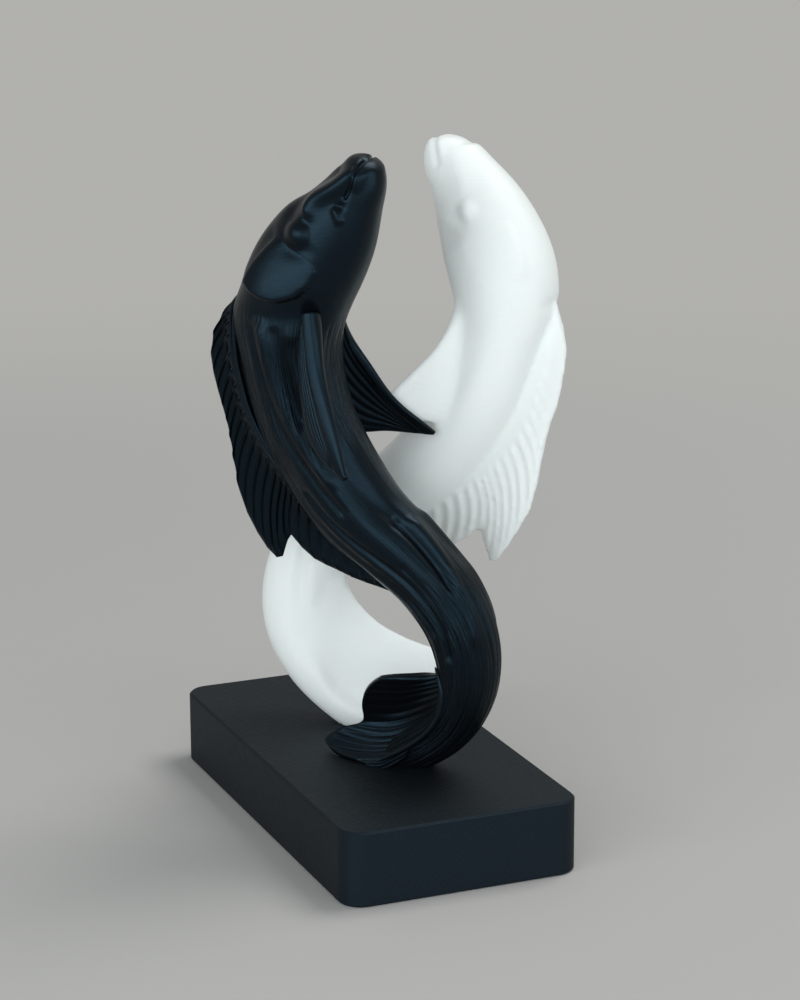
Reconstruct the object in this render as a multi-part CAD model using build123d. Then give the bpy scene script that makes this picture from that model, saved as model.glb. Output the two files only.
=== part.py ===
from build123d import *

import math
import os

# A pair of koi, one black and one white, that rise from a low oblong plinth. Millimetres, +Z up.
# The origin is the middle of the plinth's underside, +X runs along the plinth's short side and +Y
# along its long side. The two koi stand on the plinth's top in two upright planes that cross the
# plinth at an angle and lean apart towards the heads. Each koi is one piece with its fins, stands on
# a flat under its tail and is held there by two dowels in blind holes.

# Plinth
plinth_width = 52.0
plinth_length = 100.0
plinth_height = 16.0
plinth_corner_radius = 5.0
plinth_edge_break = 0.5

# Koi: sizes in the koi's own plane, measured up from the plinth's top
koi_height = 131.0
koi_depth = 22.9
koi_width = 21.2
dorsal_fin_thickness = 2.2
dorsal_root_diameter = 5.4
pectoral_fin_thickness = 2.4
tail_fin_thickness = 2.4
black_eye_diameter = 5.0
white_eye_diameter = 3.4
gill_cover_height = 1.7
mouth_width = 0.8

# Where the koi stand: the angle of their planes, how far these lie from the middle and how they lean
koi_yaw = 45.0
koi_offset = 9.5
koi_lean = 5.2
black_koi_tilt = 0.0
white_koi_tilt = 8.5
black_koi_turn = 0.0
white_koi_turn = 180.0
koi_foot_cut = 0.9
fin_tip_clearance = 1.0

# Dowels between each koi and the plinth
dowel_diameter = 3.0
dowel_in_plinth = 6.0
dowel_in_koi = 4.0
dowel_edge_break = 0.3
dowel_radial_clearance = 0.1
dowel_end_clearance = 0.3
cut_overrun = 2.0

# Body sections from the snout to the root of the tail. Shares of koi_height: distance towards the
# belly, height. Then the half depth as a share of koi_depth and the half width as a share of koi_width.
# The koi share the trunk. The white koi has a fuller chin and a fuller loop.
black_head_shares = (
    (0.0715, 1.0020, 0.112, 0.150),
    (0.0615, 0.9800, 0.208, 0.225),
    (0.0415, 0.9460, 0.292, 0.305),
)
white_head_shares = (
    (0.0780, 0.9940, 0.130, 0.160),
    (0.0730, 0.9720, 0.235, 0.230),
    (0.0480, 0.9400, 0.310, 0.300),
)
trunk_shares = (
    (0.0105, 0.8970, 0.408, 0.390),
    (-0.0285, 0.8410, 0.488, 0.465),
    (-0.0590, 0.7860, 0.500, 0.500),
    (-0.0695, 0.7400, 0.470, 0.480),
    (-0.0702, 0.6920, 0.419, 0.462),
    (-0.0626, 0.6300, 0.398, 0.453),
    (-0.0450, 0.5690, 0.395, 0.443),
    (-0.0185, 0.5150, 0.392, 0.434),
    (0.0153, 0.4600, 0.388, 0.424),
    (0.0530, 0.4155, 0.372, 0.406),
    (0.0930, 0.3795, 0.368, 0.387),
)
black_loop_shares = (
    (0.1300, 0.3450, 0.344, 0.368),
    (0.1665, 0.3030, 0.336, 0.350),
    (0.1945, 0.2605, 0.300, 0.330),
    (0.2132, 0.2078, 0.245, 0.311),
    (0.2109, 0.1546, 0.219, 0.292),
    (0.1896, 0.1019, 0.204, 0.274),
    (0.1513, 0.0594, 0.198, 0.255),
    (0.1015, 0.0368, 0.214, 0.226),
    (0.0538, 0.0319, 0.190, 0.085),
)
white_loop_shares = (
    (0.1300, 0.3450, 0.356, 0.368),
    (0.1660, 0.3050, 0.372, 0.350),
    (0.1938, 0.2616, 0.355, 0.335),
    (0.2121, 0.2073, 0.312, 0.320),
    (0.2069, 0.1451, 0.277, 0.305),
    (0.1767, 0.0922, 0.251, 0.285),
    (0.1346, 0.0543, 0.225, 0.262),
    (0.0837, 0.0308, 0.228, 0.250),
    (0.0260, 0.0171, 0.225, 0.215),
    (-0.0201, 0.0243, 0.190, 0.090),
)

# Eyes: distance towards the belly and height as shares of koi_height, then the distance of the eye's
# middle from the koi's plane as a share of koi_width
black_eye_shares = (-0.0244, 0.8947, 0.314)
white_eye_shares = (0.0010, 0.8885, 0.350)

# Gill cover of the black koi: its outline in the side view as shares of koi_height, and how far each
# trunk section from the eye backwards is widened under it, as shares of gill_cover_height
gill_outline_shares = (
    (-0.0690, 0.8840), (-0.0985, 0.8480), (-0.1145, 0.8100), (-0.1020, 0.7960), (-0.0820, 0.7885),
    (-0.0570, 0.7865), (-0.0270, 0.7955), (-0.0070, 0.8135), (0.0030, 0.8350), (-0.0120, 0.8590),
    (-0.0400, 0.8760),
)
gill_lift_shares = (-0.500, 0.250, 1.000, 1.500)

# Mouth of the black koi: a slit along each side of the snout, from its tip backwards in the side view
# as shares of koi_height, and the share of koi_width that is left between the two slits
mouth_shares = ((0.0760, 1.0170), (0.0618, 0.9893), (0.0519, 0.9664), (0.0397, 0.9443))
mouth_core_share = 0.250

# Dorsal fin: each koi's free edge to the hind tip, the edge from the notch back to the body, the thick
# foot along the back and the root inside the body. Shares of koi_height.
black_dorsal_shares = (
    (-0.1550, 0.778), (-0.1860, 0.737), (-0.2115, 0.669), (-0.2050, 0.611), (-0.1870, 0.539),
    (-0.1740, 0.437), (-0.1470, 0.359), (-0.1110, 0.333),
)
white_dorsal_shares = (
    (-0.1540, 0.766), (-0.1750, 0.722), (-0.1893, 0.662), (-0.1870, 0.605), (-0.1785, 0.547),
    (-0.1763, 0.466), (-0.1700, 0.418), (-0.1470, 0.356), (-0.1220, 0.325),
)
dorsal_rear_shares = (
    (-0.0924, 0.379), (-0.0600, 0.341), (-0.0030, 0.321), (0.0656, 0.304), (0.1080, 0.284),
)
dorsal_foot_shares = (
    (-0.1300, 0.790), (-0.1557, 0.749), (-0.1573, 0.687), (-0.1527, 0.635), (-0.1328, 0.550),
    (-0.0855, 0.476), (-0.0168, 0.4046), (0.0313, 0.371), (0.0809, 0.335),
)
dorsal_root_shares = (
    (0.1250, 0.300), (0.0600, 0.365), (0.0050, 0.420), (-0.0420, 0.490), (-0.0760, 0.570),
    (-0.0900, 0.640), (-0.1000, 0.720), (-0.1100, 0.780),
)

# Pectoral fin: its root's distance from the koi's plane as a share of koi_width. Then, from root to tip,
# the leading and trailing edge as shares of koi_height, the share of the way from the root's distance to
# the fin's reach, and the share of its thickness that is left.
pectoral_root_share = 0.300
pectoral_shares = (
    (0.0000, 0.7750, -0.0305, 0.7020, 0.000, 1.00),
    (0.0030, 0.7310, -0.0330, 0.6530, 0.200, 1.00),
    (0.0110, 0.6850, -0.0220, 0.5950, 0.270, 0.95),
    (0.0240, 0.6450, 0.0000, 0.5560, 0.370, 0.85),
    (0.0480, 0.5990, 0.0430, 0.5280, 0.557, 0.70),
    (0.0920, 0.5230, 0.0850, 0.5140, 1.000, 0.45),
)

# Tail fin: a cupped sheet of upright strips. Shares of koi_height: distance towards the belly, then
# the lower edge, the middle and the upper edge of the strip as distance from the koi's plane, height.
black_tail_shares = (
    (0.1860, -0.012, 0.0850, 0.000, 0.1250, -0.012, 0.1740),
    (0.1250, -0.024, 0.0060, 0.007, 0.0750, -0.032, 0.1640),
    (0.0950, -0.034, -0.0080, 0.008, 0.0600, -0.042, 0.1590),
    (0.0650, -0.040, -0.0080, 0.012, 0.0530, -0.045, 0.1540),
    (0.0400, -0.038, -0.0080, 0.013, 0.0440, -0.042, 0.1330),
    (0.0180, -0.032, -0.0080, 0.010, 0.0240, -0.006, 0.0760),
    (-0.0250, -0.022, -0.0080, 0.000, 0.0120, 0.010, 0.0330),
    (-0.0470, -0.006, 0.0080, 0.000, 0.0130, 0.005, 0.0190),
)
white_tail_shares = (
    (0.1780, -0.010, 0.0800, 0.000, 0.1550, -0.010, 0.2500),
    (0.1200, -0.018, 0.0200, 0.006, 0.1000, -0.020, 0.2200),
    (0.1030, -0.026, 0.0080, 0.009, 0.0800, -0.026, 0.1930),
    (0.0850, -0.036, -0.0080, 0.012, 0.0630, -0.034, 0.1760),
    (0.0550, -0.040, -0.0080, 0.015, 0.0580, -0.038, 0.1660),
    (0.0200, -0.038, -0.0060, 0.018, 0.0540, -0.040, 0.1590),
    (-0.0250, -0.030, 0.0060, 0.016, 0.0540, -0.034, 0.1530),
    (-0.0620, -0.020, 0.0450, 0.010, 0.0750, -0.022, 0.1120),
)

# Dowel places along the foot of each koi, as shares of koi_height from the middle of its plane
black_dowel_shares = (0.076, 0.114)
white_dowel_shares = (0.018, 0.058)


def local_point(along_share, height_share, side=0.0):
    """A point in a koi's own frame: X towards the belly, Y to its left side, Z up."""
    return Vector(along_share * koi_height, side, height_share * koi_height)


def body(shares):
    """A round form such as the body, lofted through oval sections square to its middle line."""
    centres = [local_point(row[0], row[1]) for row in shares]
    ovals = []
    for i, row in enumerate(shares):
        before = centres[max(i - 1, 0)]
        after = centres[min(i + 1, len(centres) - 1)]
        across = Vector(0, 1, 0)
        plane = Plane(origin=centres[i], x_dir=across, z_dir=after - before)
        ovals.append(plane * Ellipse(row[3] * koi_width, row[2] * koi_depth))
    return loft(ovals)


def dorsal_fin(edge_shares):
    """A flat fin along the back with a thick foot, a hind tip and a notch behind it."""
    front = Spline(*[local_point(*s) for s in edge_shares])
    rear = Spline(*[local_point(*s) for s in dorsal_rear_shares])
    tip_edge = Line(front @ 1, rear @ 0)
    root = Polyline(rear @ 1, *[local_point(*s) for s in dorsal_root_shares], front @ 0)
    outline = make_face(front + tip_edge + rear + root)
    blade = extrude(outline, dorsal_fin_thickness / 2, both=True)
    root_radius = dorsal_root_diameter / 2
    round_shares = (root_radius / koi_depth, root_radius / koi_width)
    foot = body([s + round_shares for s in dorsal_foot_shares])
    return blade + foot


def eyes(eye_shares, diameter):
    """A round eye on each side of the head."""
    along, up, out_share = eye_shares
    middle = local_point(along, up, out_share * koi_width)
    left_eye = Pos(*middle) * Sphere(diameter / 2)
    return left_eye + mirror(left_eye, about=Plane.XZ)


def gill_covers():
    """A plate behind each eye that rises from the cheek towards its rear rim."""
    rows = []
    for row, lift in zip(trunk_shares, gill_lift_shares):
        widened = row[3] + lift * gill_cover_height / koi_width
        rows.append((row[0], row[1], row[2], widened))
    outline = Spline(*[local_point(*s) for s in gill_outline_shares], periodic=True)
    prism = extrude(make_face(outline), koi_width, both=True)
    return body(rows) & prism


def mouth():
    """The slits along the sides of the snout that are cut away as the mouth."""
    line = Polyline(*[(along * koi_height, up * koi_height) for along, up in mouth_shares])
    slit = Plane.XZ * trace(line, mouth_width)
    core = mouth_core_share * koi_width / 2
    whole = extrude(slit, koi_width, both=True)
    middle = extrude(slit, core, both=True)
    return whole - middle


def fin_reach():
    """How far a pectoral fin's tip stands from its koi's plane, just short of the other koi."""
    tip_height = pectoral_shares[-1][1] * koi_height
    lean = math.radians(koi_lean)
    between_planes = 2 * (koi_offset * math.cos(lean) + tip_height * math.sin(lean))
    width_share = max(row[3] for row in trunk_shares if row[1] < pectoral_shares[-1][1])
    return between_planes - width_share * koi_width - fin_tip_clearance


def pectoral_fin():
    """The left pectoral fin, a tapering blade that stands out from the flank."""
    flank = pectoral_root_share * koi_width
    reach = fin_reach()
    edges = []
    for lead_along, lead_up, trail_along, trail_up, out_share, thick_share in pectoral_shares:
        out = flank + out_share * (reach - flank)
        lead = local_point(lead_along, lead_up, out)
        trail = local_point(trail_along, trail_up, out)
        edges.append((lead, trail, thick_share))
    sections = []
    for i, (lead, trail, thick_share) in enumerate(edges):
        before = edges[max(i - 1, 0)]
        after = edges[min(i + 1, len(edges) - 1)]
        along_fin = (after[0] + after[1]) - (before[0] + before[1])
        bulge = along_fin.cross(lead - trail).normalized() * (thick_share * pectoral_fin_thickness / 2)
        middle = (lead + trail) / 2
        outer = ThreePointArc(lead, middle + bulge, trail)
        inner = ThreePointArc(trail, middle - bulge, lead)
        sections.append(make_face(outer + inner))
    return loft(sections)


def tail_fin(shares):
    """A cupped sheet, lofted through upright strips from the root to the tip of the lower lobe."""
    strips = []
    for along, low_out, low_up, mid_out, mid_up, top_out, top_up in shares:
        plane = Plane(origin=local_point(along, 0), x_dir=(0, 1, 0), z_dir=(-1, 0, 0))
        rows = [(low_out, low_up), (mid_out, mid_up), (top_out, top_up)]
        corners = []
        for face_side in (-1, 1):
            step = face_side * tail_fin_thickness / 2
            corners.append([(out * koi_height + step, -up * koi_height) for out, up in rows])
        near, far = corners
        near_arc = ThreePointArc(*near)
        far_arc = ThreePointArc(*far)
        top = Line(near[2], far[2])
        low = Line(far[0], near[0])
        strips.append(plane * make_face(near_arc + top + far_arc + low))
    return loft(strips, ruled=True)


def place(koi, tilt, turn):
    """Tilt a koi in its own plane, lean it outwards and stand it on the plinth's top."""
    tilted = Rot(0, -tilt, 0) * koi
    leaning = Pos(0, -koi_offset, plinth_height - koi_foot_cut) * Rot(koi_lean, 0, 0) * tilted
    return Rot(0, 0, turn - koi_yaw) * leaning


def dowel_places(shares, tilt, turn):
    """Where a koi's dowels cross the plinth's top."""
    spots = []
    for share in shares:
        along = share * koi_height * math.cos(math.radians(tilt))
        spot = Rot(0, 0, turn - koi_yaw) * Pos(along, -koi_offset, plinth_height)
        spots.append(spot.position)
    return spots


def round_bar(spot, radius, low, high):
    """An upright round bar through a spot on the plinth's top."""
    centre = Pos(spot.X, spot.Y, spot.Z + (low + high) / 2)
    return centre * Cylinder(radius, high - low)


def finned(body_shares, dorsal_shares, tail_shares):
    """A koi's body with its fins, in its own frame."""
    left_fin = pectoral_fin()
    right_fin = mirror(left_fin, about=Plane.XZ)
    shape = body(body_shares) + dorsal_fin(dorsal_shares) + tail_fin(tail_shares)
    shape += left_fin
    shape += right_fin
    return shape


def stand(shape, dowel_shares, tilt, turn):
    """One koi on the plinth, cut flat where it stands and bored for its dowels."""
    standing = place(shape, tilt, turn)
    standing = split(standing, Plane.XY.offset(plinth_height), keep=Keep.TOP)
    for spot in dowel_places(dowel_shares, tilt, turn):
        hole_radius = dowel_diameter / 2 + dowel_radial_clearance
        standing -= round_bar(spot, hole_radius, -cut_overrun, dowel_in_koi + dowel_end_clearance)
    return standing


def plinth(spots):
    """An oblong block with rounded corners and a blind hole for each dowel."""
    block = Pos(0, 0, plinth_height / 2) * Box(plinth_width, plinth_length, plinth_height)
    block = fillet(block.edges().filter_by(Axis.Z), plinth_corner_radius)
    rims = block.edges().group_by(Axis.Z)[0] + block.edges().group_by(Axis.Z)[-1]
    block = chamfer(rims, plinth_edge_break)
    for spot in spots:
        hole_radius = dowel_diameter / 2 + dowel_radial_clearance
        block -= round_bar(spot, hole_radius, -dowel_in_plinth - dowel_end_clearance, cut_overrun)
    return block


def dowels(spots):
    """The dowels of one koi, with broken ends."""
    bars = []
    for spot in spots:
        bar = round_bar(spot, dowel_diameter / 2, -dowel_in_plinth, dowel_in_koi)
        ends = bar.edges().filter_by(GeomType.CIRCLE)
        bars.append(chamfer(ends, dowel_edge_break))
    return Compound(children=bars)


black_body_shares = black_head_shares + trunk_shares + black_loop_shares
white_body_shares = white_head_shares + trunk_shares + white_loop_shares
black_stance = (black_koi_tilt, black_koi_turn)
white_stance = (white_koi_tilt, white_koi_turn)
black_spots = dowel_places(black_dowel_shares, *black_stance)
white_spots = dowel_places(white_dowel_shares, *white_stance)

black_shape = finned(black_body_shares, black_dorsal_shares, black_tail_shares)
black_shape += gill_covers()
black_shape += eyes(black_eye_shares, black_eye_diameter)
black_shape -= mouth()
white_shape = finned(white_body_shares, white_dorsal_shares, white_tail_shares)
white_shape += eyes(white_eye_shares, white_eye_diameter)
black_koi = stand(black_shape, black_dowel_shares, *black_stance)
white_koi = stand(white_shape, white_dowel_shares, *white_stance)

nodes = {
    "plinth": plinth(black_spots + white_spots),
    "black_koi": black_koi,
    "white_koi": white_koi,
    "black_koi_dowels": dowels(black_spots),
    "white_koi_dowels": dowels(white_spots),
}

os.makedirs("parts", exist_ok=True)
for name, shape in nodes.items():
    export_step(shape, f"parts/{name}.step")
    print(name, len(shape.solids()), "solids", round(shape.volume, 1), "mm3")
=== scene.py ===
"""The looks of a pair of printed koi, one black and one white, on a black plinth.

Shapes are worked out in millimetres in each koi's own frame: the first axis runs towards the belly, the
second to the koi's left side and the third up. place() stands them on the plinth, with the foot cut flat.
"""
import math

import bpy
import numpy as np
from mathutils import Matrix, Vector


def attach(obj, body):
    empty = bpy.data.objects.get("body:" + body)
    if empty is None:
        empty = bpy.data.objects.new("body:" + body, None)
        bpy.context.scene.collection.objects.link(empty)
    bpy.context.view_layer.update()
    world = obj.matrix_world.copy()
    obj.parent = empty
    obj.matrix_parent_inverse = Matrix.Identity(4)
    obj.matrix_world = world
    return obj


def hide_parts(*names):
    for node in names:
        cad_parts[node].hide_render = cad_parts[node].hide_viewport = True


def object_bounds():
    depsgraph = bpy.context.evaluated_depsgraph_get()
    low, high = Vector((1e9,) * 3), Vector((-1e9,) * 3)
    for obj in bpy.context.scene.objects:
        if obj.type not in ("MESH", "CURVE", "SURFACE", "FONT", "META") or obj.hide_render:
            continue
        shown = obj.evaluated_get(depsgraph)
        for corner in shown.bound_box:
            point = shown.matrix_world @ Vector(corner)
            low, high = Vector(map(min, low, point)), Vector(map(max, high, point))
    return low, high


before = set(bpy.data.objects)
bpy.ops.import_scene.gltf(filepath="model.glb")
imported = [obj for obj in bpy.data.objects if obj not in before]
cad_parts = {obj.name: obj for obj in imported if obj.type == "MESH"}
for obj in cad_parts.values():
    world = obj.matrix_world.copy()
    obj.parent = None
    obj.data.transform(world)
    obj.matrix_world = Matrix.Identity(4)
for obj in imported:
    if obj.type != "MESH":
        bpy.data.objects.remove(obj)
cad_low, cad_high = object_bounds()

MM = 0.001

# Sizes of a koi and where it stands. A stance is a tilt towards the back and a turn, in degrees
KOI_HEIGHT = 131.0
KOI_DEPTH = 22.9
KOI_WIDTH = 21.2
KOI_YAW = 45.0
KOI_OFFSET = 9.5
KOI_LEAN = 5.2
FOOT_CUT = 0.9
PLINTH_HEIGHT = 16.0
BLACK_STANCE = (0.0, 0.0)
WHITE_STANCE = (8.5, 180.0)

# Body sections from the snout to the root of the tail: shares of the height for the distance towards
# the belly and the height, then the half depth and half width as shares of the depth and width
BLACK_HEAD_SHARES = (
    (0.0715, 1.0020, 0.112, 0.150),
    (0.0615, 0.9800, 0.208, 0.225),
    (0.0415, 0.9460, 0.292, 0.305),
)
WHITE_HEAD_SHARES = (
    (0.0780, 0.9940, 0.130, 0.160),
    (0.0730, 0.9720, 0.235, 0.230),
    (0.0480, 0.9400, 0.310, 0.300),
)
TRUNK_SHARES = (
    (0.0105, 0.8970, 0.408, 0.390),
    (-0.0285, 0.8410, 0.488, 0.465),
    (-0.0590, 0.7860, 0.500, 0.500),
    (-0.0695, 0.7400, 0.470, 0.480),
    (-0.0702, 0.6920, 0.419, 0.462),
    (-0.0626, 0.6300, 0.398, 0.453),
    (-0.0450, 0.5690, 0.395, 0.443),
    (-0.0185, 0.5150, 0.392, 0.434),
    (0.0153, 0.4600, 0.388, 0.424),
    (0.0530, 0.4155, 0.372, 0.406),
    (0.0930, 0.3795, 0.368, 0.387),
)
BLACK_LOOP_SHARES = (
    (0.1300, 0.3450, 0.344, 0.368),
    (0.1665, 0.3030, 0.336, 0.350),
    (0.1905, 0.2590, 0.324, 0.330),
    (0.2025, 0.2070, 0.306, 0.311),
    (0.1985, 0.1575, 0.292, 0.292),
    (0.1794, 0.1080, 0.272, 0.274),
    (0.1450, 0.0672, 0.256, 0.255),
    (0.0992, 0.0350, 0.238, 0.226),
    (0.0420, -0.0060, 0.160, 0.085),
)
WHITE_LOOP_SHARES = (
    (0.1300, 0.3450, 0.356, 0.368),
    (0.1660, 0.3050, 0.372, 0.350),
    (0.1890, 0.2600, 0.384, 0.335),
    (0.1985, 0.2070, 0.390, 0.320),
    (0.1915, 0.1500, 0.370, 0.305),
    (0.1650, 0.1010, 0.335, 0.285),
    (0.1270, 0.0650, 0.300, 0.262),
    (0.0800, 0.0400, 0.285, 0.250),
    (0.0250, 0.0240, 0.265, 0.215),
    (-0.0200, 0.0260, 0.200, 0.090),
)

# Relief of the head, as paths in the side view: height over the skin, half width, path
BLACK_HEAD_RELIEF = {
    "brow": (1.5, 1.6, ((9.0, 130.8), (8.0, 129.2), (6.0, 127.6), (4.0, 126.1), (1.8, 124.8),
                        (-0.2, 123.5), (-1.3, 122.0), (-1.7, 120.3), (-1.7, 118.6))),
    "brow_groove": (-0.8, 1.5, ((5.6, 131.0), (2.6, 128.8), (-1.0, 126.4), (-4.2, 123.6),
                               (-6.0, 120.8), (-7.2, 118.0))),
    "mouth": (-0.8, 0.38, ((9.8, 132.4), (8.6, 130.2), (7.6, 127.8), (6.9, 125.6), (6.0, 123.8))),
    "lip": (0.35, 0.9, ((10.2, 130.0), (9.0, 127.4), (7.8, 125.0))),
    "barbel_pit": (-0.6, 0.8, ((5.0, 123.9), (5.3, 122.8), (6.0, 121.4))),
    "barbel": (0.7, 0.65, ((4.2, 123.0), (4.5, 121.6), (5.0, 120.2), (5.6, 118.8))),
    "under_eye": (-0.3, 1.5, ((-7.2, 115.0), (-5.4, 113.9), (-3.2, 113.4), (-1.0, 113.9), (0.6, 115.2))),
    "gill_back": (-0.4, 1.4, ((-8.4, 117.6), (-10.6, 115.6), (-13.0, 112.8),
                              (-15.0, 109.8), (-16.2, 106.6))),
    "gill_under": (-0.8, 3.2, ((-16.4, 102.4), (-13.6, 100.8), (-10.6, 100.0), (-7.2, 99.8),
                               (-3.0, 100.8), (0.2, 103.0), (2.0, 105.8))),
}
WHITE_HEAD_RELIEF = {
    "mouth": (-0.8, 0.6, ((13.2, 130.6), (11.8, 128.5), (10.7, 126.7), (9.9, 125.0), (9.1, 123.2))),
    "lip": (0.35, 0.8, ((10.9, 129.4), (9.6, 127.2), (8.9, 125.4))),
    "brow": (0.35, 1.8, ((7.4, 128.4), (4.6, 124.8), (2.2, 120.8), (0.4, 118.4))),
    "socket": (-0.35, 1.6, ((3.0, 118.2), (2.6, 115.6), (0.6, 113.8), (-1.8, 114.0))),
    "throat": (-0.9, 3.2, ((5.6, 113.6), (3.8, 110.4), (1.4, 106.8))),
    "gill_notch": (-0.35, 0.9, ((-20.6, 102.0), (-19.6, 100.4), (-18.6, 98.4))),
}
RELIEF_STEPS = 5
RELIEF_FADE_WIDTHS = 2.0

# Eyes: centre in the side view, radius and height
BLACK_EYE = (-3.5, 117.1, 3.3, 1.5)
WHITE_EYE = (0.1, 116.4, 2.6, 1.0)
EYE_DOME = 1.5

# Gill cover: its outline in the side view, the round of its rim and the run of its plate
GILL_OUTLINE = (
    (-9.0, 115.8), (-10.9, 113.8), (-12.9, 111.1), (-14.3, 108.6), (-15.0, 106.1), (-13.4, 104.4),
    (-10.8, 103.3), (-7.5, 103.0), (-3.6, 104.2), (-1.0, 106.5), (0.6, 109.4), (0.2, 110.9),
    (-1.4, 112.5), (-4.2, 113.9), (-6.6, 115.4),
)
GILL_ROUND = 1.2
GILL_FLAT = 0.6
GILL_HALF_WIDTH = 7.5
GILL_FRONT = (-2.5, 114.5)
GILL_REAR = (-8.5, 104.5)
GILL_FRONT_SINK = 0.25
GILL_REACH_SHARE = 1.1
BLACK_GILL_HEIGHT = 1.7

# Relief of the trunk, as paths over the skin: height, half width, path of (distance from the snout,
# degrees round from the back)
SKIN_RELIEF = {
    "nape": (1.6, 4.8, ((30, 10), (38, 13), (46, 15), (54, 15), (62, 14), (70, 12), (80, 9), (92, 6))),
    "back_groove": (-0.5, 1.0, ((42, 34), (55, 32), (70, 37), (85, 50), (100, 62), (114, 64))),
    "shoulder_crease": (-0.6, 1.1, ((38, 58), (45, 61), (52, 66), (60, 74), (67, 82), (74, 90), (82, 95))),
    "shoulder_ridge": (0.8, 1.6, ((37, 70), (41, 74), (45, 78), (51, 84), (57, 90),
                                  (64, 96), (70, 101), (76, 104))),
    "shoulder_groove": (-0.6, 1.1, ((38, 88), (47, 98), (54, 102), (60, 105), (67, 109))),
    "fin_hollow": (-1.2, 1.6, ((40, 112), (45, 109), (50, 106), (56, 107), (62, 110))),
    "fin_front": (0.5, 2.0, ((40, 142), (47, 141), (54, 137), (62, 134))),
    "belly_hollow": (-0.5, 1.8, ((58, 124), (66, 126), (74, 130), (84, 138), (92, 146))),
    "flank_edge": (-0.7, 0.9, ((72, 58), (80, 66), (88, 76), (96, 84), (104, 88), (112, 84), (120, 78))),
    "flank_flat": (0.45, 2.4, ((66, 100), (74, 103), (82, 106), (90, 110), (98, 113), (105, 113))),
    "flank_line": (-0.4, 0.7, ((96, 100), (102, 99), (108, 96), (114, 90))),
    "vent_groove": (-1.2, 1.3, ((88, 142), (94, 143), (99, 142), (104, 138), (108, 132))),
    "vent_fin": (0.6, 1.5, ((90, 162), (97, 160), (103, 154), (108, 146), (113, 138), (118, 130))),
    "vent_pit": (-0.5, 1.6, ((104, 118), (108, 118), (112, 116))),
}
WHITE_SKIN_RELIEF = {
    "loop_groove": (-1.0, 1.3, ((108, 96), (112, 90), (115, 80), (119, 75), (122, 69),
                                (127.5, 55), (135, 44), (140, 34), (146, 27))),
    "loop_band": (0.5, 1.4, ((112, 74), (116, 64), (120, 56), (127, 43), (135, 32), (141, 22), (147, 16))),
}
WHITE_TRUNK_SHARE = 0.12
SKIN_ROUND = 9.5

# Fine lines along the body: twice their number round it, their drift and the length of their sway
GRAIN_LINES = ((38, 0.030, 21.0), (61, -0.041, 13.0), (97, 0.055, 8.0))

# How finely a body is divided, and where along it each form begins or ends and how long it takes to fade
HEAD_RINGS = 170
BODY_RINGS = 290
BODY_AROUND = 148
END_GAP = 0.02
HEAD_LENGTH = 44.0
SNOUT_ROUND = 1.3
TAIL_ROUND = 4.0
SCOOP_START = 118.0
SCOOP_END = 138.0
HEAD_END = 56.0
HEAD_FADE = 12.0
TRUNK_START = 33.0
TRUNK_FADE = 6.0
GRAIN_START = 34.0
GRAIN_FADE = 10.0
FLANK_START = 62.0
FLANK_END = 110.0
FLANK_FADE = 10.0
FLANK_SMOOTH_SHARE = 0.9

# Dorsal fin rays: foot and tip of each in the side view
BLACK_DORSAL_RAYS = (
    (-20.2, 101.8, -21.2, 101.0), (-21.2, 100.2, -25.0, 96.4), (-21.8, 98.4, -27.4, 91.8),
    (-22.1, 96.4, -28.2, 87.6), (-22.2, 94.0, -27.8, 83.6), (-22.2, 90.0, -27.0, 79.8),
    (-21.9, 86.4, -26.1, 76.2), (-21.3, 83.2, -25.3, 72.8), (-20.7, 80.3, -24.7, 68.9),
    (-19.9, 77.3, -24.2, 64.1), (-18.9, 74.6, -23.5, 58.4), (-17.7, 72.1, -22.0, 53.6),
    (-16.4, 69.6, -19.9, 49.4), (-15.0, 67.5, -17.8, 46.2), (-13.5, 65.5, -15.7, 44.2),
    (-12.2, 63.8, -14.4, 44.6), (-11.2, 62.4, -13.1, 48.3), (-10.1, 61.0, -12.1, 49.7),
    (-8.7, 58.9, -9.8, 47.1), (-6.7, 56.9, -7.1, 44.9), (-4.6, 54.9, -4.5, 43.8),
    (-2.2, 53.0, -1.6, 42.8), (0.9, 50.9, 1.2, 41.7), (4.1, 48.6, 4.4, 40.8),
    (7.4, 46.4, 7.5, 40.1), (10.6, 43.9, 10.4, 39.3), (13.4, 41.0, 13.0, 38.4),
)
WHITE_DORSAL_RAYS = (
    (-19.2, 101.2, -20.2, 100.2), (-20.4, 98.1, -24.2, 90.9), (-20.6, 94.3, -24.5, 86.7),
    (-20.6, 90.0, -24.5, 82.2), (-20.4, 86.4, -24.3, 78.4), (-20.0, 83.2, -23.6, 75.2),
    (-19.6, 80.3, -23.3, 71.6), (-19.2, 77.3, -23.1, 66.9), (-18.4, 74.6, -23.1, 61.0),
    (-17.4, 72.1, -22.5, 55.2), (-16.2, 69.6, -20.6, 50.3), (-15.0, 67.5, -18.9, 46.2),
    (-13.5, 65.5, -17.3, 43.3), (-12.2, 63.8, -16.0, 42.6), (-11.2, 62.4, -14.3, 45.2),
    (-10.1, 61.0, -12.3, 49.2), (-8.7, 58.9, -9.8, 46.6), (-6.7, 56.9, -7.3, 44.4),
    (-4.6, 54.9, -4.5, 43.5), (-2.2, 53.0, -1.6, 42.8), (0.9, 50.9, 1.2, 41.7),
    (4.1, 48.6, 4.4, 40.8), (7.4, 46.4, 7.5, 40.1), (10.6, 43.9, 10.4, 39.3),
    (13.4, 41.0, 13.0, 38.4),
)
DORSAL_STEPS_PER_RAY = 12
DORSAL_ROWS = 36
DORSAL_ROOT_ROWS = 5
STEP_SHARE = 0.4
BEAD_PITCH = 2.4
DORSAL_ROOT_DEPTH = 4.0
DORSAL_ROOT_HALF = 2.6
DORSAL_START_RAYS = 3.0
DORSAL_BOW = 0.08
DORSAL_MID_HALF = 0.85
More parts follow.
